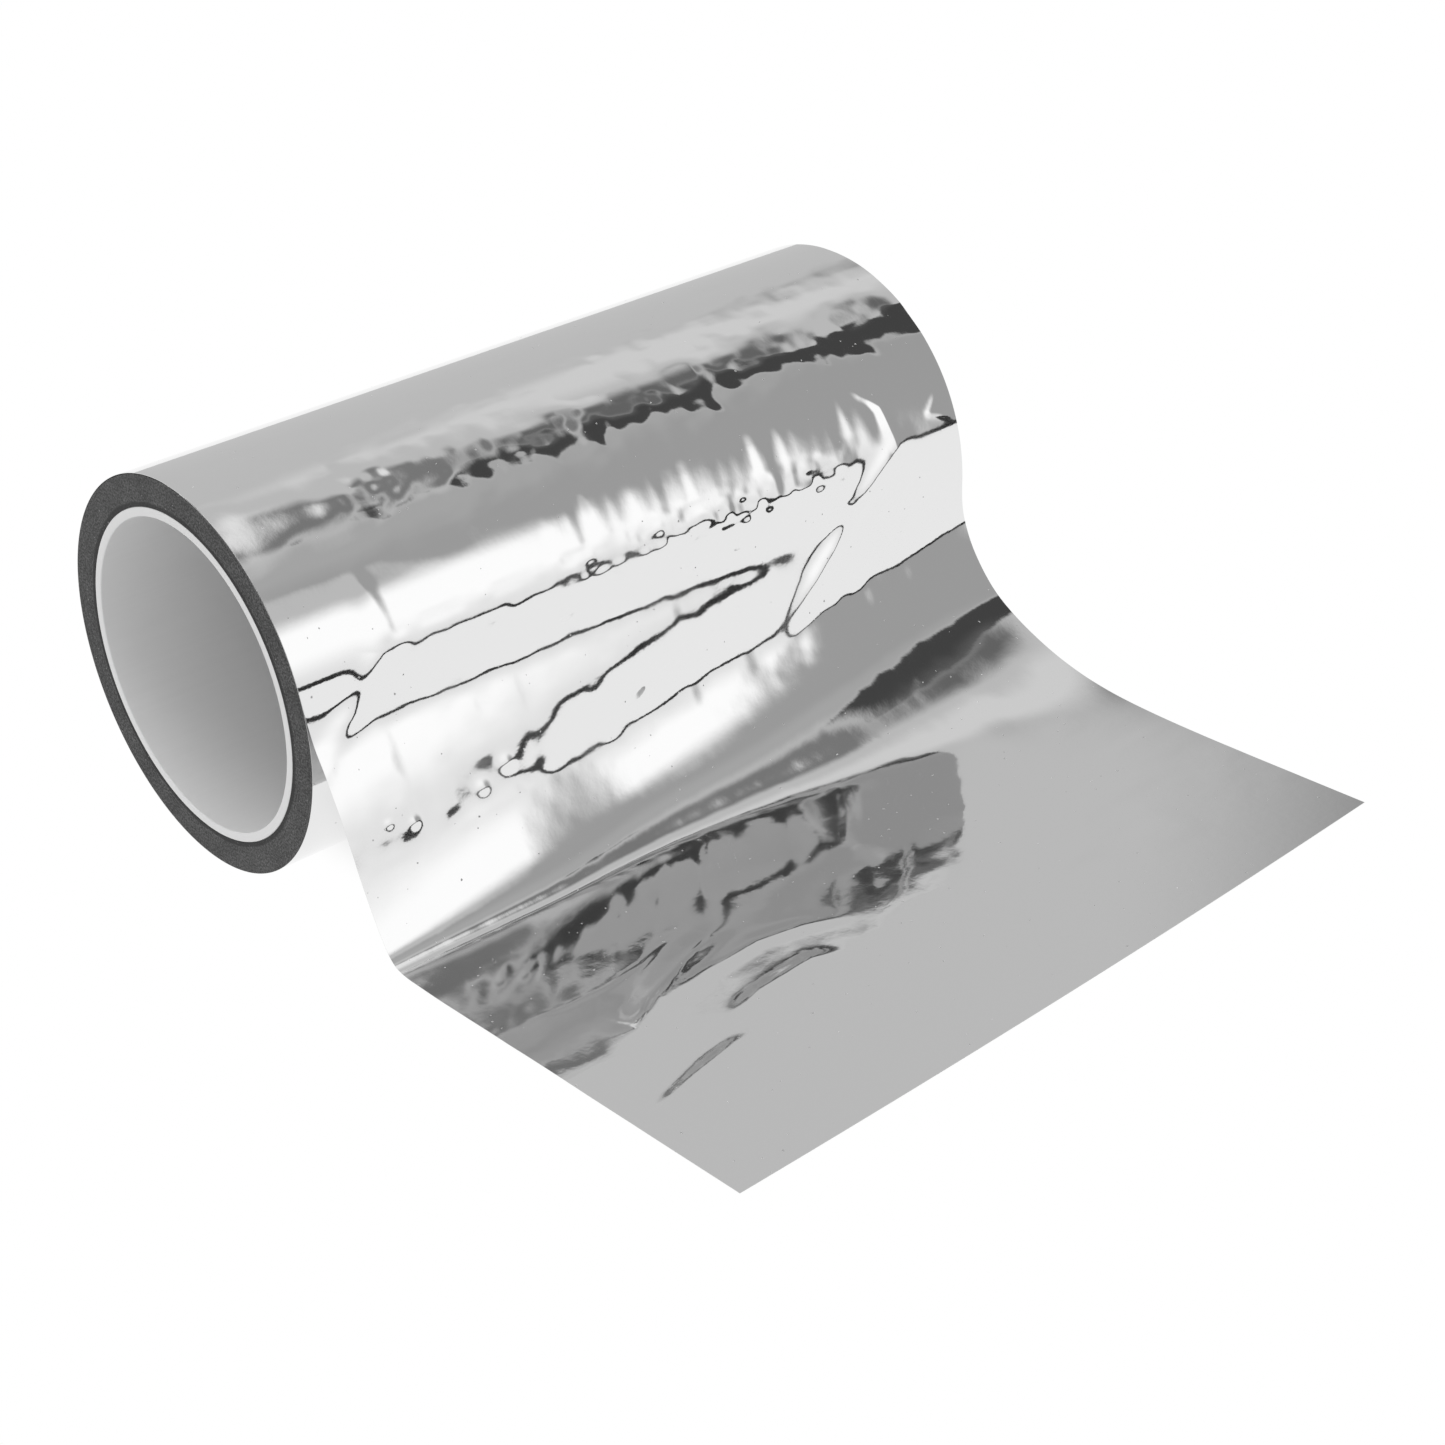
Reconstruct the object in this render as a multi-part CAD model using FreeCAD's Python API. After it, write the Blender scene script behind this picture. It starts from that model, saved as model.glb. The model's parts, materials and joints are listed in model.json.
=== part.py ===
import FreeCAD, Part
import math
import os

# A roll of mirror-finish adhesive film tape on a plastic core, with its end pulled off and laid flat.
#
# Millimetres. The origin is the centre of the core's bore, half way along the roll. +Y runs along the
# roll, +Z is up, and the free end of the tape runs towards +X. The wound roll and the free end both
# rest on the plane z = -ROLL_RADIUS.
#
# The tape is one strip, made here as four stretches: the wound pack, the outermost wound turn, the
# loosened turn that leaves the roll and comes down to the table, and the free end that lies flat.

# Roll
TAPE_WIDTH = 200.0
CORE_BORE_RADIUS = 38.1
CORE_WALL = 2.4
ROLL_RADIUS = 48.2

# Layers of the tape, each thicker than the real coat so that it is a sound solid
FILM_THICKNESS = 0.15
ADHESIVE_THICKNESS = 0.10

# Room for the tape's stretches to move past each other
LOOSE_TURN_CLEARANCE = 0.15
FOLD_CLEARANCE = 0.5

# Course of the loosened turn at the tape's two edges. Angles about the roll are counted from +X
# towards +Z. A heading is how steeply the tape runs down, in degrees below level.
LOOSE_TURN_START_ANGLE = 80.0
NEAR_EDGE = {"y": -TAPE_WIDTH / 2, "leave_angle": 10.0, "middle_heading": 57.0, "table_x": 72.5}
FAR_EDGE = {"y": TAPE_WIDTH / 2, "leave_angle": -8.0, "middle_heading": 35.0, "table_x": 118.0}

# Cut end of the tape
NEAR_CORNER_X = 184.0
FAR_CORNER_X = 177.3
CUT_BOW = 1.4

TABLE_Z = -ROLL_RADIUS
CORE_RADIUS = CORE_BORE_RADIUS + CORE_WALL
TAPE_THICKNESS = FILM_THICKNESS + ADHESIVE_THICKNESS
PACK_RADIUS = ROLL_RADIUS - TAPE_THICKNESS
LOOSE_TURN_RADIUS = ROLL_RADIUS + LOOSE_TURN_CLEARANCE
PEEL_ANGLE = max(NEAR_EDGE["leave_angle"], FAR_EDGE["leave_angle"])
LAST_LEAVE_ANGLE = min(NEAR_EDGE["leave_angle"], FAR_EDGE["leave_angle"])


def save(shape, node):
    """Write one node's STEP file and print its volume."""
    shape.exportStep(f"parts/{node}.step")
    print(f"{node}: {shape.Volume / 1000:.2f} cm3, valid {shape.isValid()}")


def tube(inner_radius, outer_radius):
    """A tube along Y, as long as the tape is wide."""
    start = FreeCAD.Vector(0, -TAPE_WIDTH / 2, 0)
    along = FreeCAD.Vector(0, 1, 0)
    outside = Part.makeCylinder(outer_radius, TAPE_WIDTH, start, along)
    inside = Part.makeCylinder(inner_radius, TAPE_WIDTH, start, along)
    return outside.cut(inside)


def make_core():
    """Thin plastic tube with its end edges slightly broken."""
    edge_break = 0.3
    core = tube(CORE_BORE_RADIUS, CORE_RADIUS)
    inner_rims = []
    for edge in core.Edges:
        is_circle = isinstance(edge.Curve, Part.Circle)
        if is_circle and abs(edge.Curve.Radius - CORE_BORE_RADIUS) < 0.01:
            inner_rims.append(edge)
    return core.makeChamfer(edge_break, inner_rims)


def bend_radii(edge):
    """Radii of the two bends that bring the tape from the roll down to the table.

    The first bend turns the tape from its heading where it leaves the roll to the middle heading, and
    the second turns it level. Together they drop to the table and reach table_x, which gives two
    linear equations in the two radii.
    """
    leave = math.radians(edge["leave_angle"])
    first_heading = math.pi / 2 - leave
    middle = math.radians(edge["middle_heading"])
    drop = LOOSE_TURN_RADIUS * math.sin(leave) - TABLE_Z
    reach = edge["table_x"] - LOOSE_TURN_RADIUS * math.cos(leave)
    drop_1 = math.cos(middle) - math.cos(first_heading)
    reach_1 = math.sin(first_heading) - math.sin(middle)
    drop_2 = 1 - math.cos(middle)
    reach_2 = math.sin(middle)
    scale = drop_1 * reach_2 - drop_2 * reach_1
    radius_1 = (drop * reach_2 - drop_2 * reach) / scale
    radius_2 = (drop_1 * reach - reach_1 * drop) / scale
    return radius_1, radius_2


def arc(centre, radius, start, end, y):
    """Arc in the plane of constant y, through the angles start and end in degrees from +X to +Z."""
    points = []
    for angle in (start, (start + end) / 2, end):
        x = centre[0] + radius * math.cos(math.radians(angle))
        z = centre[1] + radius * math.sin(math.radians(angle))
        points.append(FreeCAD.Vector(x, y, z))
    return Part.Arc(*points).toShape()


def course(edge, height):
    """The loosened turn's four arcs at one edge of the tape, at a height above its adhesive face.

    Both edges keep to the roll as far as PEEL_ANGLE, so that the tape is a true cylinder there. Then
    the far edge keeps to the roll for longer, while the near edge starts its first bend.
    """
    radius_1, radius_2 = bend_radii(edge)
    leave = edge["leave_angle"]
    first = 180 + leave
    middle = 270 - edge["middle_heading"]
    reach = LOOSE_TURN_RADIUS + radius_1
    centre_1 = (reach * math.cos(math.radians(leave)), reach * math.sin(math.radians(leave)))
    centre_2 = (edge["table_x"], TABLE_Z + radius_2)
    on_roll = arc((0, 0), LOOSE_TURN_RADIUS + height, LOOSE_TURN_START_ANGLE, PEEL_ANGLE, edge["y"])
    if leave < PEEL_ANGLE:
        turned = first
        peeling = arc((0, 0), LOOSE_TURN_RADIUS + height, PEEL_ANGLE, leave, edge["y"])
    else:
        turned = first + (PEEL_ANGLE - LAST_LEAVE_ANGLE) * LOOSE_TURN_RADIUS / radius_1
        peeling = arc(centre_1, radius_1 - height, first, turned, edge["y"])
    coming_down = arc(centre_1, radius_1 - height, turned, middle, edge["y"])
    onto_table = arc(centre_2, radius_2 - height, middle, 270, edge["y"])
    return [on_roll, peeling, coming_down, onto_table]


def end_points(edge):
    """First and last point of a shape edge, in the order that it was drawn."""
    return edge.valueAt(edge.FirstParameter), edge.valueAt(edge.LastParameter)


def loose_turn_section(edge, low, high):
    """Closed outline of one layer of the loosened turn at one edge of the tape."""
    under = course(edge, low)
    over = course(edge, high)
    table_cap = Part.makeLine(end_points(under[-1])[1], end_points(over[-1])[1])
    roll_cap = Part.makeLine(end_points(over[0])[0], end_points(under[0])[0])
    return Part.Wire(under + [table_cap] + over[::-1] + [roll_cap])


def loose_turn_layer(low, high):
    """One layer of the loosened turn: straight rulings from the near edge to the far edge."""
    sections = [loose_turn_section(edge, low, high) for edge in (NEAR_EDGE, FAR_EDGE)]
    return Part.makeLoft(sections, True, True)


def free_end_layer(low, high):
    """One layer of the free end: flat on the table, with a slightly bowed, slightly skewed cut."""
    z = TABLE_Z + low
    near_fold = FreeCAD.Vector(NEAR_EDGE["table_x"] + FOLD_CLEARANCE, NEAR_EDGE["y"], z)
    far_fold = FreeCAD.Vector(FAR_EDGE["table_x"] + FOLD_CLEARANCE, FAR_EDGE["y"], z)
    near_corner = FreeCAD.Vector(NEAR_CORNER_X, NEAR_EDGE["y"], z)
    far_corner = FreeCAD.Vector(FAR_CORNER_X, FAR_EDGE["y"], z)
    bow_point = FreeCAD.Vector((NEAR_CORNER_X + FAR_CORNER_X) / 2 + CUT_BOW, 0, z)
    outline = Part.Wire(
        [
            Part.makeLine(near_fold, near_corner),
            Part.Arc(near_corner, bow_point, far_corner).toShape(),
            Part.makeLine(far_corner, far_fold),
            Part.makeLine(far_fold, near_fold),
        ]
    )
    return Part.Face(outline).extrude(FreeCAD.Vector(0, 0, high - low))


os.makedirs("parts", exist_ok=True)

save(make_core(), "core")
save(tube(CORE_RADIUS, PACK_RADIUS), "wound_pack")
save(tube(PACK_RADIUS, PACK_RADIUS + ADHESIVE_THICKNESS), "outer_turn_adhesive")
save(tube(PACK_RADIUS + ADHESIVE_THICKNESS, ROLL_RADIUS), "outer_turn_film")
save(loose_turn_layer(0, ADHESIVE_THICKNESS), "loose_turn_adhesive")
save(loose_turn_layer(ADHESIVE_THICKNESS, TAPE_THICKNESS), "loose_turn_film")
save(free_end_layer(0, ADHESIVE_THICKNESS), "free_end_adhesive")
save(free_end_layer(ADHESIVE_THICKNESS, TAPE_THICKNESS), "free_end_film")

for name, edge in (("near", NEAR_EDGE), ("far", FAR_EDGE)):
    print(f"{name} edge bends with radii of {bend_radii(edge)[0]:.1f} and {bend_radii(edge)[1]:.1f} mm")
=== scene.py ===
import json
import math
import bmesh
import bpy
import numpy as np
from mathutils import Matrix, Vector


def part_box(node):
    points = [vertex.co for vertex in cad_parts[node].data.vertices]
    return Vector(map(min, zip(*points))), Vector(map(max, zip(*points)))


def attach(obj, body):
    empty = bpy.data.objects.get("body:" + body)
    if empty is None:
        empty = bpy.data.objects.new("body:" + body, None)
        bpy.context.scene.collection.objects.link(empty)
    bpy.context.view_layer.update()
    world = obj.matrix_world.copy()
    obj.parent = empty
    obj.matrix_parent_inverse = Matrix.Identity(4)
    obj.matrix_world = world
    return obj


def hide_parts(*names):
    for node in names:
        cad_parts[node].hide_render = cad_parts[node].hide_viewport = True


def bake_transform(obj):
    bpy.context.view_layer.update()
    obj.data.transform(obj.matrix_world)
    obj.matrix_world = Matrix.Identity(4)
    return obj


# Roll of mirror-finish film tape with its free end pulled off and laid on a table. Metres, +Y along
# the roll, +Z up, the free end towards +X. The origin is the centre of the core's bore.

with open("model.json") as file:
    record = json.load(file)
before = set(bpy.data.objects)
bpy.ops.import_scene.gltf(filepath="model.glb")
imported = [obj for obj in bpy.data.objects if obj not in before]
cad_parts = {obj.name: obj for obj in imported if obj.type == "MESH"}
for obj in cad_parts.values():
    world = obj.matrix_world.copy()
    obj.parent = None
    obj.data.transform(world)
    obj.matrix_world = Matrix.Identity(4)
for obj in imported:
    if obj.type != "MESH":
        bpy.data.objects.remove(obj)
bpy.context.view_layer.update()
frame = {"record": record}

MM = 0.001

# ---- Sizes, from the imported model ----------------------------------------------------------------

ROLL_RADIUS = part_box("outer_turn_film")[1].x
CORE_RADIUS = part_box("core")[1].x
HALF_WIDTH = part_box("core")[1].y
TABLE_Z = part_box("free_end_adhesive")[0].z
NEAR_CORNER_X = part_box("free_end_film")[1].x
BORE_RADIUS = frame["record"]["mounts"][0]["dims"]["r_mm"] * MM

# ---- Tape shape ----------------------------------------------------------------------------------

FILM_THICKNESS = 0.05 * MM
ADHESIVE_THICKNESS = 0.03 * MM
TAPE_LIFT = 0.15 * MM                  # mean height of the tape above the turn below and the table
LOOSE_START_ANGLE = math.radians(80)
FAR_CORNER_SETBACK = 6.7 * MM          # the cut is slightly skewed
CUT_BOW = 1.4 * MM
ROWS_ON_ROLL = 170
ROWS_DOWN = 270
ROWS_ON_TABLE = 90
COLUMNS = 360
LAYER_GAP = 0.002 * MM                 # keeps the adhesive's face from touching the film's
OUTER_TURN_RISE = 90 * MM              # length over which the tight turn comes up to the loosened one
OUTER_TURN_WRINKLED = 15 * MM          # the last of it carries the loosened turn's wrinkles
OUTER_TURN_FINE = 30 * MM
CORE_ROUNDING = 0.35 * MM
PACK_GAP = 0.02 * MM
PACK_RINGS = 80
PACK_STEPS = (0.02 * MM, 0.07 * MM)    # how far single rings of the wound ends lie back

# How the tape comes down from the roll, at seven places across its width. Each course is a list of
# (distance in mm along the tape since it left the roll, tilt of its outer face in degrees above
# facing level along +X). The first tilt is also the angle about the roll where the tape leaves it.
COURSES = {
    -1.0: [
        (0, 12), (10, 18), (16, 27), (34, 18.7), (46, 22),
        (58, 32), (61, 52), (63, 72), (69, 89), (110, 90),
    ],
    -0.6: [
        (0, 7), (5, 13.5), (11, 23), (29, 17.9), (43, 26),
        (53, 37), (58, 52), (61, 67), (66, 88), (115, 90),
    ],
    -0.25: [
        (0, 5), (3.5, 13.5), (9, 20), (25, 12.8), (40, 27),
        (49, 39), (54, 52), (58, 61), (68, 86.5), (120, 90),
    ],
    0.1: [
        (0, 4.5), (3.4, 13.5), (7, 17), (20, 11.5), (35, 29),
        (46, 41), (51, 52), (57, 61), (71, 86), (122, 90),
    ],
    0.4: [
        (0, 2.5), (3, 12), (6, 15.5), (17, 10.8), (32, 30),
        (43, 43), (47, 52), (57, 61), (80, 86), (125, 90),
    ],
    0.7: [
        (0, -1), (3, 4), (5, 7), (13, 10.5), (26, 30),
        (36, 43), (40, 52), (54, 62), (86, 86.5), (128, 90),
    ],
    1.0: [
        (0, -4), (4, -1), (7, 4), (11, 14), (24, 35),
        (32, 46), (36, 54), (54, 68), (92, 87), (130, 90),
    ],
}

# Patches of small wrinkles: distance along the tape from and to (from the place where the loosened
# turn starts) with a fade, distance across from and to with a fade, length and width of one
# wrinkle, all in mm, and how steep its flanks are.
WRINKLES = [
    ("blisters", -4, 34, 7, -95, 110, 25, 7, 10, 0.035),
    ("blister_edges", 2, 30, 5, -60, 110, 20, 3.2, 4.5, 0.03),
    ("puckers_round_roll", 24, 56, 6, -20, 70, 14, 16, 4.2, 0.035),
    ("contour_rags", 50, 64, 4, -72, 62, 8, 3, 4, 0.035),
    ("contour_teeth", 52, 60, 4, -20, 58, 10, 2.6, 2.6, 0.045),
    ("contour_loops", 57, 63, 3, -66, 12, 8, 3.6, 8, 0.05),
    ("flutes_on_drop", 66, 92, 5, -95, 60, 10, 20, 6, 0.03),
    ("island_rags", 72, 96, 4, -110, 110, 5, 5, 5, 0.012),
    ("drop_grain", 96, 128, 5, -110, 110, 5, 5, 4, 0.006),
    ("tail_waves", 134, 190, 8, -110, 50, 15, 20, 34, 0.014),
    ("tail_rags", 134, 200, 8, -110, 110, 15, 6, 9, 0.007),
    ("roll_waves", -4, 60, 6, -110, 110, 5, 24, 30, 0.01),
]

# Single creases: points (mm along, mm across) that the ridge passes through, its half width and
# its height in mm. Two points almost in one place make a round bump.
CREASES = [
    ("y_crease", [(32, -79), (44, -78), (54, -78), (61, -84), (72, -99), (90, -120)], 3.2, 0.3),
    ("y_crease_branch", [(32, -78), (46, -75), (60, -72)], 2.0, 0.1),
    ("far_pucker", [(34, 68), (44, 77), (57, 79), (64, 76)], 1.5, 0.2),
    ("finger", [(50, 86), (64, 66), (74, 54), (92, 28)], 3.2, 0.8),
    ("rear_pucker", [(44, 98), (50, 92), (53, 100)], 1.2, 0.1),
    ("oval_a", [(91.5, -63), (91.5, -63.1)], 1.8, 0.19),
    ("oval_b", [(88.5, -55), (88.5, -55.1)], 1.9, 0.2),
    ("oval_c", [(90, -89), (90, -89.1)], 0.9, 0.09),
    ("oval_d", [(92, -82.5), (92, -82.6)], 1.1, 0.11),
    ("island_spot_a", [(88, -26), (88, -26.1)], 1.1, 0.07),
    ("island_spot_b", [(86, -15), (85, -13)], 1.5, 0.09),
    ("island_spot_c", [(85, 5), (85, 5.1)], 1.1, 0.05),
    (
        "tail_zigzag",
        [(157, -98), (155, -91), (157, -84), (157.5, -73), (156, -61), (153, -53), (151, -39)],
        1.2,
        0.045,
    ),
    (
        "tail_streak",
        [(176, -88), (175.5, -77), (169, -68), (162.5, -55), (158, -43), (156.5, -33)],
        4.5,
        0.5,
    ),
    (
        "tail_lobe_a",
        [(183, -76), (172, -65), (168.5, -53), (167.5, -38), (170, -26), (176, -12)],
        2.8,
        0.24,
    ),
    ("tail_lobe_b", [(188, -66), (183, -50), (182, -34), (186, -24)], 2.6, 0.22),
    ("tail_crease", [(203, -101), (197, -80), (194, -67), (194, -57)], 2.4, 0.25),
]


def smooth_through(x, xs, ys):
    """Curve through the points (xs, ys) that never overshoots them, read at x."""
    xs = np.asarray(xs, float)
    ys = np.asarray(ys, float)
    step = np.diff(xs)
    slope = np.diff(ys) / step
    tangent = np.zeros_like(ys)
    same_sign = slope[:-1] * slope[1:] > 0
    weight_a = 2 * step[1:] + step[:-1]
    weight_b = step[1:] + 2 * step[:-1]
    safe_a = np.where(same_sign, slope[:-1], 1)
    safe_b = np.where(same_sign, slope[1:], 1)
    mean = (weight_a + weight_b) / (weight_a / safe_a + weight_b / safe_b)
    tangent[1:-1] = np.where(same_sign, mean, 0)
    tangent[0] = slope[0]
    tangent[-1] = 0
    i = np.clip(np.searchsorted(xs, x) - 1, 0, len(step) - 1)
    t = np.clip((x - xs[i]) / step[i], 0, 1)
    rise = ys[i + 1] - ys[i]
    first = tangent[i] * step[i]
    last = tangent[i + 1] * step[i]
    return ys[i] + t * first + t * t * (3 * rise - 2 * first - last) + t**3 * (first + last - 2 * rise)


def tape_course(across):
    """x and z of the tape's underside, and its distance along, down one line of the tape.

    across runs from -1 at the near edge to 1 at the far edge.
    """
    stations = sorted(COURSES)
    table = np.array([COURSES[s] for s in stations], float)
    along = np.array([smooth_through(across, stations, table[:, k, 0]) for k in range(table.shape[1])])
    tilt = np.array([smooth_through(across, stations, table[:, k, 1]) for k in range(table.shape[1])])
    radius = ROLL_RADIUS + TAPE_LIFT
    leave = math.radians(tilt[0])
    angle = np.linspace(LOOSE_START_ANGLE, leave, ROWS_ON_ROLL, endpoint=False)
    roll_x = radius * np.cos(angle)
    roll_z = radius * np.sin(angle)
    roll_s = radius * (LOOSE_START_ANGLE - angle)
    t = np.linspace(0, along[-1], ROWS_DOWN)
    lean = np.radians(smooth_through(t, along, tilt))
    mid_lean = (lean[1:] + lean[:-1]) / 2
    step = np.diff(t) * MM
    fall = np.concatenate([[0], np.cumsum(np.cos(mid_lean) * step)])
    reach = np.concatenate([[0], np.cumsum(np.sin(mid_lean) * step)])
    stretch = (radius * math.sin(leave) - TABLE_Z - TAPE_LIFT) / fall[-1]
    down_x = radius * math.cos(leave) + reach * stretch
    down_z = radius * math.sin(leave) - fall * stretch
    down_s = radius * (LOOSE_START_ANGLE - leave) + t * MM * stretch
    end_x = NEAR_CORNER_X - FAR_CORNER_SETBACK * (across + 1) / 2 + CUT_BOW * (1 - across**2)
    flat_x = np.linspace(down_x[-1], end_x, ROWS_ON_TABLE + 1)[1:]
    flat_z = np.full(ROWS_ON_TABLE, down_z[-1])
    flat_s = down_s[-1] + flat_x - down_x[-1]
    x = np.concatenate([roll_x, down_x, flat_x])
    z = np.concatenate([roll_z, down_z, flat_z])
    s = np.concatenate([roll_s, down_s, flat_s])
    return x, z, s


def smooth_noise(u, v, seed):
    """Smooth noise between -1 and 1 with one bump per unit of u and v."""
    lattice = np.random.default_rng(seed).uniform(-1, 1, (128, 128))
    i = np.floor(u).astype(int)
    j = np.floor(v).astype(int)
    a = u - i
    b = v - j
    a = a**3 * (a * (6 * a - 15) + 10)
    b = b**3 * (b * (6 * b - 15) + 10)
    low = lattice[i % 128, j % 128] * (1 - a) + lattice[(i + 1) % 128, j % 128] * a
    high = lattice[i % 128, (j + 1) % 128] * (1 - a) + lattice[(i + 1) % 128, (j + 1) % 128] * a
    return low * (1 - b) + high * b


def band(x, low, high, fade):
    """1 between low and high, fading to 0 over the given distance outside."""
    rise = np.clip((x - low) / fade + 1, 0, 1)
    drop = np.clip((high - x) / fade + 1, 0, 1)
    inside = np.minimum(rise, drop)
    return inside * inside * (3 - 2 * inside)


def crease_height(s, y, path, half_width):
    """A ridge along a line through a few points, 1 high and running out at both ends."""
    nearest = np.full(s.shape, 1e9)
    travelled = np.zeros(s.shape)
    length = 0
    for (s0, y0), (s1, y1) in zip(path[:-1], path[1:]):
        ds = s1 - s0
        dy = y1 - y0
        span = math.hypot(ds, dy)
        t = np.clip(((s - s0) * ds + (y - y0) * dy) / span**2, 0, 1)
        away = np.hypot(s - s0 - t * ds, y - y0 - t * dy)
        closer = away < nearest
        nearest = np.where(closer, away, nearest)
        travelled = np.where(closer, length + t * span, travelled)
        length += span
    ridge = np.exp(-((nearest / half_width) ** 2))
    if length > 4 * half_width:
        ridge = ridge * band(travelled, 0.3 * length, 0.7 * length, 0.3 * length)
    return ridge


def wrinkle_height(places):
    """How far the wrinkles lift the tape at each (distance along, distance across), in metres."""
    s = places[..., 0] / MM
    y = places[..., 1] / MM
    height = np.zeros(s.shape)
    for seed, (name, s0, s1, s_fade, y0, y1, y_fade, length, width, steep) in enumerate(WRINKLES):
        where = band(s, s0, s1, s_fade) * band(y, y0, y1, y_fade)
        size = steep * min(length, width) / 2
        height += where * size * smooth_noise(s / length + 7.3, y / width + 3.1, seed)
    for name, path, half_width, rise in CREASES:
        height += rise * crease_height(s, y, path, half_width)
    return np.maximum(height, -0.9 * TAPE_LIFT / MM) * MM


def tape_grid():
    """Points of the tape's underside and their (distance along, distance across), row by row."""
    points = []
    places = []
    for across in np.linspace(-1, 1, COLUMNS):
        x, z, s = tape_course(across)
        y = np.full_like(x, across * HALF_WIDTH)
        points.append(np.stack([x, y, z], axis=1))
        places.append(np.stack([s, y], axis=1))
    points = np.stack(points, axis=1)
    places = np.stack(places, axis=1)
    points = points + grid_normals(points) * wrinkle_height(places)[..., None]
    return points, places


def grid_normals(points):
    """Unit normals of a grid of points, on the tape's shiny side."""
    down = np.gradient(points, axis=0)
    over = np.gradient(points, axis=1)
    normal = np.cross(down, over)
    return normal / np.linalg.norm(normal, axis=2, keepdims=True)


def thin_sheet(name, under, over, places):
    """A closed sheet between two grids of points, with its distances along and across as UVs."""
    rows, columns = under.shape[:2]
    count = rows * columns
    index = np.arange(count).reshape(rows, columns)
    a = index[:-1, :-1].ravel()
    b = index[:-1, 1:].ravel()
    c = index[1:, 1:].ravel()
    d = index[1:, :-1].ravel()
    top = np.stack([a, d, c, b], axis=1) + count
    bottom = np.stack([a, b, c, d], axis=1)
    border = np.concatenate([index[0, :-1], index[:-1, -1], index[-1, :0:-1], index[:0:-1, 0]])
    following = np.roll(border, -1)
    rim = np.stack([border, border + count, following + count, following], axis=1)
    mesh = bpy.data.meshes.new(name)
    vertices = np.concatenate([under.reshape(-1, 3), over.reshape(-1, 3)])
    faces = np.concatenate([top, bottom, rim])
    mesh.vertices.add(len(vertices))
    mesh.vertices.foreach_set("co", vertices.astype(np.float32).ravel())
    mesh.loops.add(faces.size)
    mesh.loops.foreach_set("vertex_index", faces.astype(np.int32).ravel())
    mesh.polygons.add(len(faces))
    mesh.polygons.foreach_set("loop_start", np.arange(0, faces.size, 4, dtype=np.int32))
    mesh.update(calc_edges=True)
    uv = mesh.uv_layers.new(name="tape")
    flat = places.reshape(-1, 2)
    uv.data.foreach_set("uv", flat[faces.ravel() % count].astype(np.float32).ravel())
    mesh.polygons.foreach_set("use_smooth", np.ones(len(faces), bool))
    mesh.set_sharp_from_angle(angle=math.radians(50))
    mesh.validate()
    piece = bpy.data.objects.new(name, mesh)
    bpy.context.scene.collection.objects.link(piece)
    return piece


# ---- Materials -----------------------------------------------------------------------------------


class Wiring:
    """Short calls for the nodes of one material or world."""

    def __init__(self, tree):
        self.tree = tree

    def put(self, socket, value):
        if isinstance(value, bpy.types.NodeSocket):
            self.tree.links.new(value, socket)
        else:
            socket.default_value = value

    def math(self, operation, a, b=0.0):
        node = self.tree.nodes.new("ShaderNodeMath")
        node.operation = operation
        self.put(node.inputs[0], a)
        self.put(node.inputs[1], b)
        return node.outputs[0]

    def ramp(self, value, low, high, start=0.0, end=1.0):
        node = self.tree.nodes.new("ShaderNodeMapRange")
        node.interpolation_type = "SMOOTHSTEP"
        self.put(node.inputs["Value"], value)
        node.inputs["From Min"].default_value = low
        node.inputs["From Max"].default_value = high
        node.inputs["To Min"].default_value = start
        node.inputs["To Max"].default_value = end
        return node.outputs["Result"]

    def mix(self, share, a, b):
        node = self.tree.nodes.new("ShaderNodeMix")
        self.put(node.inputs["Factor"], share)
        self.put(node.inputs["A"], a)
        self.put(node.inputs["B"], b)
        return node.outputs["Result"]

    def split(self, vector):
        node = self.tree.nodes.new("ShaderNodeSeparateXYZ")
        self.tree.links.new(vector, node.inputs[0])
        return node.outputs

    def join(self, x, y, z=0.0):
        node = self.tree.nodes.new("ShaderNodeCombineXYZ")
        for socket, value in zip(node.inputs, (x, y, z)):
            self.put(socket, value)
        return node.outputs[0]

    def scaled(self, parts, scales):
        """A vector of the parts, each times its scale, for a texture to read."""
        return self.join(*[self.math("MULTIPLY", part, scale) for part, scale in zip(parts, scales)])

    def place(self, kind):
        return self.tree.nodes.new("ShaderNodeTexCoord").outputs[kind]

    def noise(self, vector, detail=2.0, rough=0.5):
        """Noise between 0 and 1 with about one bump per unit of the vector."""
        node = self.tree.nodes.new("ShaderNodeTexNoise")
        self.tree.links.new(vector, node.inputs["Vector"])
        node.inputs["Scale"].default_value = 1
        node.inputs["Detail"].default_value = detail
        node.inputs["Roughness"].default_value = rough
        return node.outputs["Fac"]

    def grey(self, value):
        node = self.tree.nodes.new("ShaderNodeCombineColor")
        for socket in node.inputs[:3]:
            self.put(socket, value)
        return node.outputs[0]

    def bump(self, height):
        """Shading normal of a surface with this height in metres."""
        node = self.tree.nodes.new("ShaderNodeBump")
        node.inputs["Strength"].default_value = 1
        node.inputs["Distance"].default_value = 1
        self.tree.links.new(height, node.inputs["Height"])
        return node.outputs[0]


def new_material(name):
    """An empty node material: its wiring and its Principled shader."""
    material = bpy.data.materials.new(name)
    material.use_nodes = True
    tree = material.node_tree
    return material, Wiring(tree), tree.nodes["Principled BSDF"]


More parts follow.
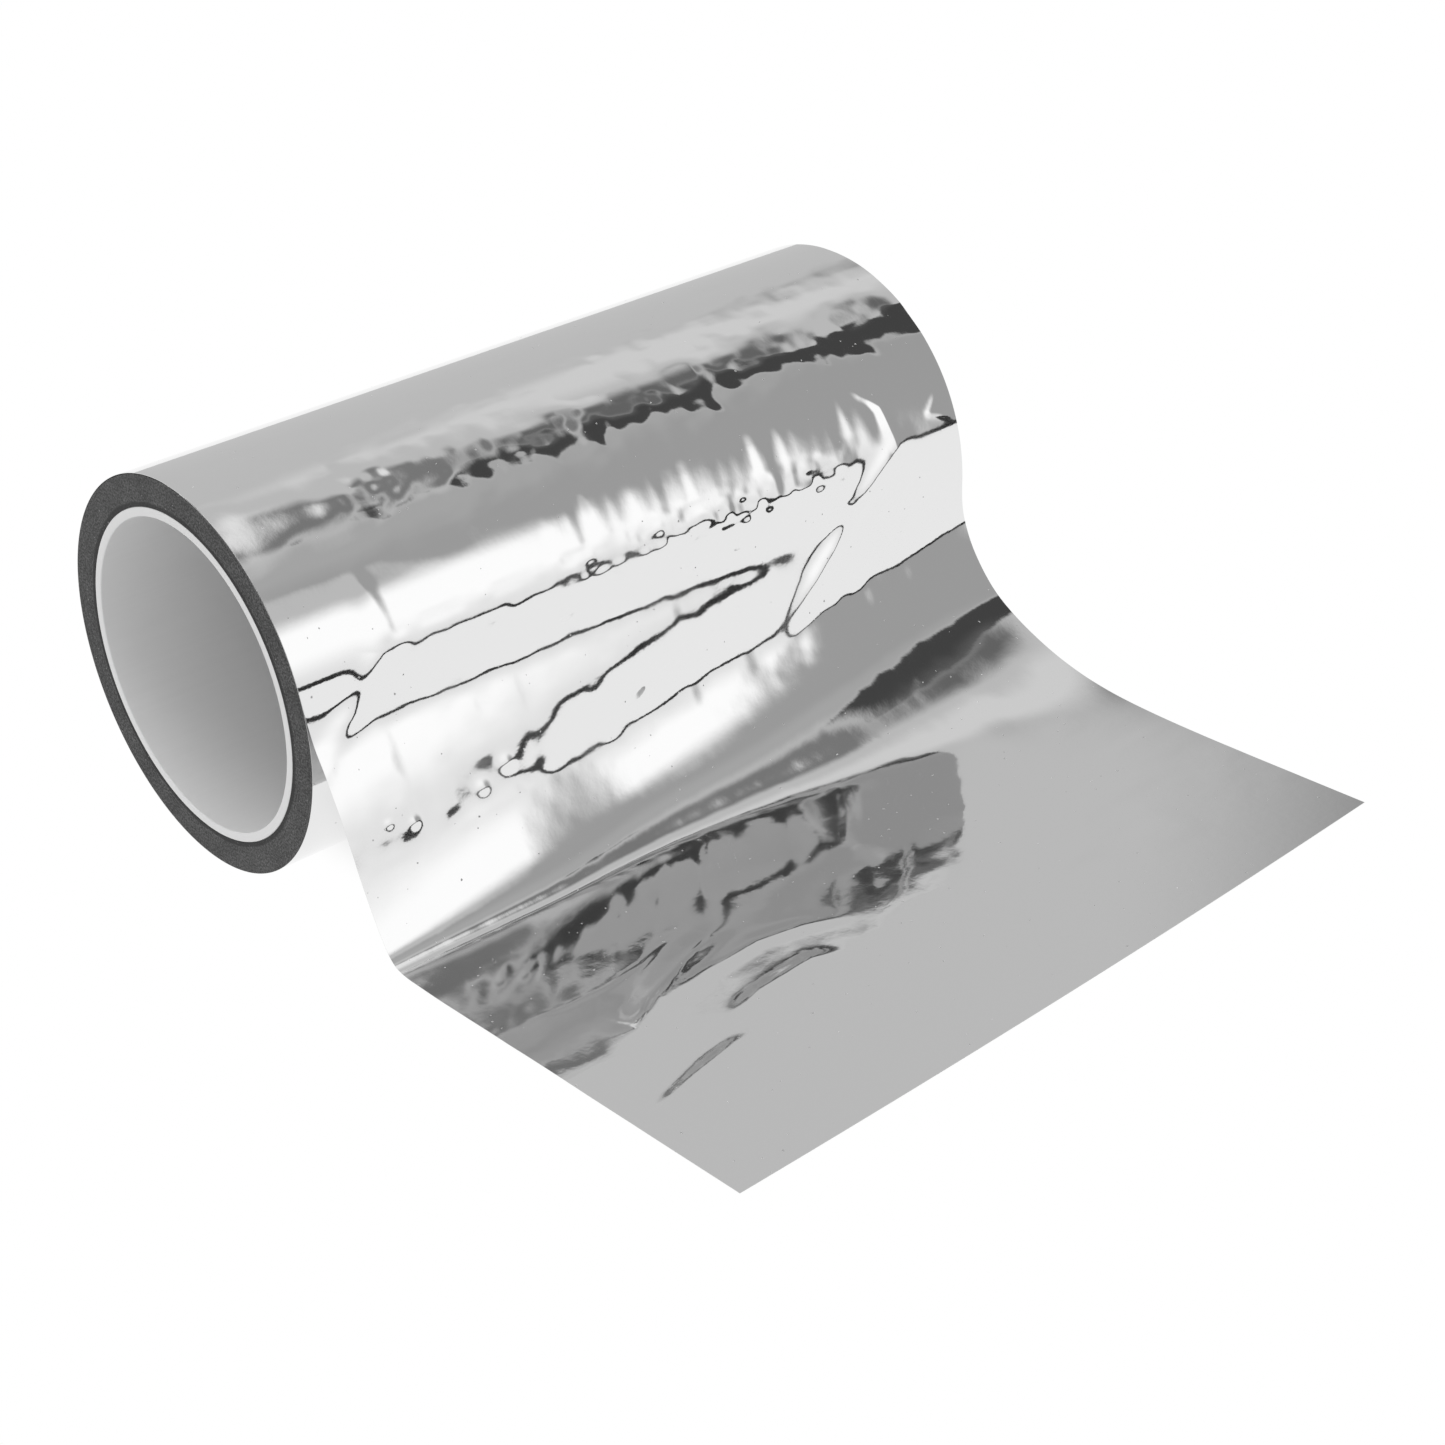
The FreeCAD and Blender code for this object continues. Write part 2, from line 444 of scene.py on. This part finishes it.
def mirror_film():
    """Bright metallised film: faint rubbing along the tape, fine dimples and a few dust marks."""
    material, w, shader = new_material("mirror_film")
    along, across = w.split(w.place("UV"))[:2]
    dimples = w.noise(w.scaled((along, across), (420, 380)), 3)
    rubbing = w.noise(w.scaled((along, across), (70, 520)), 2)
    height = w.math("MULTIPLY", dimples, 7e-6)
    height = w.math("ADD", height, w.math("MULTIPLY", rubbing, 2e-6))
    haze = w.noise(w.scaled((along, across), (25, 40)), 4)
    dust = w.noise(w.scaled((along, across), (900, 900)), 0)
    dust = w.ramp(dust, 0.83, 0.88)
    w.put(shader.inputs["Base Color"], w.grey(w.mix(dust, 0.80, 0.6)))
    w.put(shader.inputs["Roughness"], w.math("ADD", w.ramp(haze, 0.35, 0.75, 0.035, 0.075), dust))
    w.put(shader.inputs["Normal"], w.bump(height))
    shader.inputs["Metallic"].default_value = 1
    return material


def adhesive():
    """Clear adhesive over the film's back: satin, slightly mottled."""
    material, w, shader = new_material("adhesive")
    along, across = w.split(w.place("UV"))[:2]
    mottle = w.noise(w.scaled((along, across), (130, 150)), 4)
    w.put(shader.inputs["Base Color"], w.grey(w.ramp(mottle, 0.3, 0.7, 0.46, 0.58)))
    w.put(shader.inputs["Roughness"], w.ramp(mottle, 0.3, 0.7, 0.28, 0.4))
    w.put(shader.inputs["Normal"], w.bump(w.math("MULTIPLY", mottle, 3e-5)))
    shader.inputs["Metallic"].default_value = 0.55
    return material


def wound_edge():
    """End of the wound film: dark and finely grained, with painted shade in a band beside the core,
    and stray specks.
    """
    material, w, shader = new_material("wound_edge")
    x, y, z = w.split(w.place("Object"))
    radius = w.math("SQRT", w.math("ADD", w.math("MULTIPLY", x, x), w.math("MULTIPLY", z, z)))
    turn = w.math("ARCTAN2", z, x)
    rings = w.noise(w.scaled((radius, turn, y), (5200, 5, 1)), 3, 0.7)
    patches = w.noise(w.scaled((x, z, y), (160, 160, 1)), 4)
    specks = w.noise(w.scaled((x, z, y), (1500, 1500, 1)), 1)
    grain = w.noise(w.scaled((x, z, y), (2000, 2000, 1)), 3)
    light = w.math("ADD", w.ramp(rings, 0.3, 0.7, 0.028, 0.036), w.ramp(patches, 0.3, 0.75, 0, 0.016))
    light = w.math("MULTIPLY", light, w.ramp(grain, 0.35, 0.68, 0.45, 2.3))
    # Painted shade: a wavering dark band on the wound ends next to the core.
    wavering = w.math("ADD", radius, w.math("MULTIPLY", patches, 0.9 * MM))
    painted_shade_beside_core = w.ramp(wavering, CORE_RADIUS + 1.3 * MM, CORE_RADIUS + 1.8 * MM, 0.25, 1)
    light = w.math("MULTIPLY", light, painted_shade_beside_core)
    light = w.math("ADD", light, w.ramp(specks, 0.74, 0.8, 0, 0.3))
    w.put(shader.inputs["Base Color"], w.grey(light))
    height = w.math("ADD", w.math("MULTIPLY", rings, 1e-5), w.math("MULTIPLY", grain, 4e-5))
    w.put(shader.inputs["Normal"], w.bump(height))
    shader.inputs["Roughness"].default_value = 0.5
    shader.inputs["Specular IOR Level"].default_value = 0.2
    return material


def core_plastic():
    """White extruded plastic tube with faint lengthwise drawing lines."""
    material, w, shader = new_material("core_plastic")
    x, y, z = w.split(w.place("Object"))
    turn = w.math("ARCTAN2", z, x)
    lines = w.noise(w.scaled((turn, y), (45, 6)), 3)
    grain = w.noise(w.scaled((x, y, z), (900, 900, 900)))
    w.put(shader.inputs["Base Color"], w.grey(w.ramp(lines, 0.25, 0.75, 0.665, 0.675)))
    height = w.math("ADD", w.math("MULTIPLY", lines, 2e-6), w.math("MULTIPLY", grain, 6e-6))
    w.put(shader.inputs["Normal"], w.bump(height))
    shader.inputs["Roughness"].default_value = 0.42
    return material


def glowing_white(name):
    """A surface that gives even white light and reflects none: its material, wiring and shader."""
    material, w, shader = new_material(name)
    shader.inputs["Base Color"].default_value = (0, 0, 0, 1)
    shader.inputs["Specular IOR Level"].default_value = 0
    shader.inputs["Emission Color"].default_value = (1, 1, 1, 1)
    shader.inputs["Emission Strength"].default_value = 1
    return material, w, shader


def white_table():
    """Even pure white glow, with a painted shadow right under the roll."""
    material, w, shader = glowing_white("white_table")
    x, y = w.split(w.place("Object"))[:2]
    # Painted shadow: the glow is turned down by up to 0.55 in a patch under the roll.
    under = w.math("MULTIPLY", w.ramp(x, -30 * MM, -5 * MM), w.ramp(x, 45 * MM, 75 * MM, 1, 0))
    under = w.math("MULTIPLY", under, w.ramp(w.math("ABSOLUTE", y), 50 * MM, 85 * MM, 1, 0))
    w.put(shader.inputs["Emission Strength"], w.math("SUBTRACT", 1, w.math("MULTIPLY", under, 0.55)))
    return material


# ---- Pieces --------------------------------------------------------------------------------------


def make_tape():
    """The loosened turn and the free end, as two sheets: film outside, adhesive inside."""
    points, places = tape_grid()
    normals = grid_normals(points)
    middle = points + normals * ADHESIVE_THICKNESS
    top = middle + normals * FILM_THICKNESS
    film = thin_sheet("tape_film", middle, top, places)
    glue = thin_sheet("tape_adhesive", points, middle - normals * LAYER_GAP, places)
    return film, glue, places


def make_outer_turn():
    """The tight turn that the loosened one comes off: it starts level with it and winds in below."""
    whole_turn = 2 * math.pi * ROLL_RADIUS
    coarse = np.linspace(-whole_turn, -OUTER_TURN_FINE, 200, endpoint=False)
    fine = np.linspace(-OUTER_TURN_FINE, 0, 75)
    along = np.concatenate([coarse, fine])
    across = np.linspace(-HALF_WIDTH, HALF_WIDTH, COLUMNS // 2)
    s, y = np.meshgrid(along, across, indexing="ij")
    places = np.stack([s, y], axis=2)
    angle = LOOSE_START_ANGLE - s / ROLL_RADIUS
    rise = np.clip(1 + s / OUTER_TURN_RISE, 0, 1)
    rise = rise * rise * (3 - 2 * rise)
    thickness = FILM_THICKNESS + ADHESIVE_THICKNESS
    top_radius = ROLL_RADIUS + (TAPE_LIFT + thickness) * rise
    top_radius = top_radius + np.where(s > -OUTER_TURN_WRINKLED, wrinkle_height(places), 0)
    outward = np.stack([np.cos(angle), np.zeros_like(angle), np.sin(angle)], axis=2)
    lengthwise = np.stack([np.zeros_like(y), y, np.zeros_like(y)], axis=2)
    top = outward * top_radius[..., None] + lengthwise
    under = outward * (top_radius - thickness)[..., None] + lengthwise
    return thin_sheet("outer_turn", under, top, places)


def revolve(name, profile, segments=256):
    """A closed ring about the roll's axis from a closed profile of (radius, y) points."""
    rings = np.array(profile)
    turn = np.linspace(0, 2 * math.pi, segments, endpoint=False)
    radius = rings[None, :, 0]
    x = radius * np.cos(turn)[:, None]
    z = radius * np.sin(turn)[:, None]
    y = np.broadcast_to(rings[None, :, 1], x.shape)
    vertices = np.stack([x, y, z], axis=2).reshape(-1, 3)
    index = np.arange(segments * len(rings)).reshape(segments, len(rings))
    ahead = np.roll(index, -1, axis=0)
    faces = np.stack([index, ahead, np.roll(ahead, -1, axis=1), np.roll(index, -1, axis=1)], axis=2)
    mesh = bpy.data.meshes.new(name)
    mesh.from_pydata(vertices.tolist(), [], faces.reshape(-1, 4).tolist())
    mesh.polygons.foreach_set("use_smooth", np.ones(len(mesh.polygons), bool))
    mesh.set_sharp_from_angle(angle=math.radians(35))
    mesh.validate()
    piece = bpy.data.objects.new(name, mesh)
    bpy.context.scene.collection.objects.link(piece)
    return piece


def make_core():
    """The plastic tube, with its cut edges slightly rounded."""
    low = BORE_RADIUS + CORE_ROUNDING
    high = CORE_RADIUS - CORE_ROUNDING
    end = HALF_WIDTH - CORE_ROUNDING
    profile = []
    for radius, y, start in ((low, end, 180), (high, end, 90), (high, -end, 0), (low, -end, -90)):
        for k in range(5):
            turn = math.radians(start - 90 * k / 4)
            corner = (radius + CORE_ROUNDING * math.cos(turn), y + CORE_ROUNDING * math.sin(turn))
            profile.append(corner)
    return revolve("core_tube", profile)


def make_wound_pack():
    """The wound film: both ends stepped in fine uneven rings, as the turns lie."""
    inner = CORE_RADIUS + PACK_GAP
    outer = ROLL_RADIUS - FILM_THICKNESS - ADHESIVE_THICKNESS - PACK_GAP
    radii = np.linspace(inner, outer, PACK_RINGS)
    steps = np.random.default_rng(3).uniform(*PACK_STEPS, (2, PACK_RINGS))
    near = [(float(r), float(-HALF_WIDTH + d)) for r, d in zip(radii, steps[0])]
    far = [(float(r), float(HALF_WIDTH - d)) for r, d in zip(radii[::-1], steps[1])]
    return revolve("wound_pack_layers", far + near, 360)


film_material = mirror_film()
tape_film, tape_adhesive, tape_places = make_tape()
tape_film.data.materials.append(film_material)
tape_adhesive.data.materials.append(adhesive())
outer_turn = make_outer_turn()
outer_turn.data.materials.append(film_material)
core_tube = make_core()
core_tube.data.materials.append(core_plastic())
wound_pack = make_wound_pack()
wound_pack.data.materials.append(wound_edge())

# ---- Camera --------------------------------------------------------------------------------------

CAMERA_AZIMUTH = math.radians(50.475)
CAMERA_ELEVATION = math.radians(27.706)
CAMERA_ROLL = math.radians(-3.849)
CAMERA_DISTANCE = 14.066 * ROLL_RADIUS
CAMERA_TARGET = Vector((1.3917, 0, -0.5616)) * ROLL_RADIUS
CAMERA_LENS = 71.86


def make_camera():
    """A camera that looks down along the roll's near end and the free end."""
    data = bpy.data.cameras.new("camera")
    data.lens = CAMERA_LENS
    data.sensor_width = 36
    data.clip_start = 0.01
    camera = bpy.data.objects.new("camera", data)
    bpy.context.scene.collection.objects.link(camera)
    a = CAMERA_AZIMUTH
    e = CAMERA_ELEVATION
    back = Vector((math.sin(a) * math.cos(e), -math.cos(a) * math.cos(e), math.sin(e)))
    right = Vector((math.cos(a), math.sin(a), 0))
    up = back.cross(right)
    turned_right = right * math.cos(CAMERA_ROLL) + up * math.sin(CAMERA_ROLL)
    turned_up = up * math.cos(CAMERA_ROLL) - right * math.sin(CAMERA_ROLL)
    place = CAMERA_TARGET + back * CAMERA_DISTANCE
    camera.matrix_world = Matrix(
        (
            (turned_right.x, turned_up.x, back.x, place.x),
            (turned_right.y, turned_up.y, back.y, place.y),
            (turned_right.z, turned_up.z, back.z, place.z),
            (0, 0, 0, 1),
        )
    )
    bpy.context.scene.camera = camera


# ---- Studio --------------------------------------------------------------------------------------

# The studio as the tape's mirror surface sees it. Each card covers a patch of directions: azimuth
# from +X towards +Y and height above level, in degrees, with the softness of its sides and of its
# top and bottom, and the light that it gives. Later cards lie over earlier ones.
STUDIO_GREY = 0.6
STUDIO_CARDS = [
    # name, azimuth from, to, softness, height from, to, softness, light
    ("ceiling", -181, 181, 0.1, 62, 95, 3, 0.95),
    ("lamp", -181, 181, 0.1, 70, 95, 4, 3.5),
    ("front_fill", -176, -14, 4, -30, 60, 8, 0.9),
    ("behind_roll", 68, 126, 6, 1, 38, 4, 0.1),
    ("rear_strip", 104, 130, 6, 43, 54, 3, 0.74),
    ("upper_wall", 38, 66, 3, 40, 57, 2.5, 0.46),
    ("side_wall", 37, 64, 2, -30, 46.5, 6, 0.4),
    ("dark_gap_top", 64, 105, 7, 58.8, 62.5, 1.3, 0.22),
    ("dark_gap", 66, 82, 1.2, 30, 57, 1.5, 0.065),
    ("dark_gap_far_side", 80, 95, 6, 51, 57.5, 2, 0.15),
    ("softbox", -14, 38.5, 3.5, -30, 30, 5, 1.22),
    ("softbox_foot", -14, 38.5, 3.5, -30, 8, 7, 0.93),
    ("table_edge", -120, 120, 2, -6, 1.0, 0.15, 0.03),
]
FLOOR_REACH = 3.0


def make_studio():
    """The world's light, laid up from the cards by direction."""
    world = bpy.data.worlds.new("studio")
    bpy.context.scene.world = world
    world.use_nodes = True
    tree = world.node_tree
    w = Wiring(tree)
    x, y, z = w.split(w.place("Generated"))
    degrees = 180 / math.pi
    azimuth = w.math("MULTIPLY", w.math("ARCTAN2", y, x), degrees)
    height = w.math("MULTIPLY", w.math("ARCSINE", z), degrees)
    light = STUDIO_GREY
    for name, left, right, side_soft, low, high, end_soft, strength in STUDIO_CARDS:
        mask = w.ramp(azimuth, left - side_soft, left + side_soft)
        mask = w.math("MULTIPLY", mask, w.ramp(azimuth, right - side_soft, right + side_soft, 1, 0))
        mask = w.math("MULTIPLY", mask, w.ramp(height, low - end_soft, low + end_soft))
        mask = w.math("MULTIPLY", mask, w.ramp(height, high - end_soft, high + end_soft, 1, 0))
        light = w.mix(mask, light, strength)
    w.put(tree.nodes["Background"].inputs["Color"], w.grey(light))


def make_floor():
    """The white table, wide enough to reach the dark line at its edge."""
    mesh = bpy.data.meshes.new("floor")
    r = FLOOR_REACH
    z = TABLE_Z - 0.01 * MM
    mesh.from_pydata([(-r, -r, z), (r, -r, z), (r, r, z), (-r, r, z)], [], [(0, 1, 2, 3)])
    floor = bpy.data.objects.new("floor", mesh)
    bpy.context.scene.collection.objects.link(floor)
    floor.data.materials.append(white_table())


def make_backdrop():
    """A white dome that only the camera sees, so the surroundings are plain and pale in every view."""
    mesh = bpy.data.meshes.new("backdrop")
    bm = bmesh.new()
    bmesh.ops.create_uvsphere(bm, u_segments=48, v_segments=24, radius=FLOOR_REACH)
    bm.to_mesh(mesh)
    bm.free()
    backdrop = bpy.data.objects.new("backdrop", mesh)
    bpy.context.scene.collection.objects.link(backdrop)
    mesh.materials.append(glowing_white("white_backdrop")[0])
    backdrop.visible_diffuse = False
    backdrop.visible_glossy = False
    backdrop.visible_transmission = False
    backdrop.visible_shadow = False


make_camera()
make_studio()
make_floor()
make_backdrop()
bpy.context.scene.view_settings.view_transform = "Standard"

# ---- How the pieces ride and what they stand for -------------------------------------------------

for piece, slot, nodes in (
    (outer_turn, "mirror_film", ("outer_turn_film", "outer_turn_adhesive")),
    (core_tube, "core_plastic", ("core",)),
    (wound_pack, "wound_edge", ("wound_pack",)),
):
    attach(piece, "roll")
    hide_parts(*nodes)

# The tape's two sheets stay where they are built and stand in for the loosened turn's and free end's
# parts.
for piece, slot, nodes in (
    (tape_film, "mirror_film", ("loose_turn_film", "free_end_film")),
    (tape_adhesive, "adhesive", ("loose_turn_adhesive", "free_end_adhesive")),
):
    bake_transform(piece)
    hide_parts(*nodes)
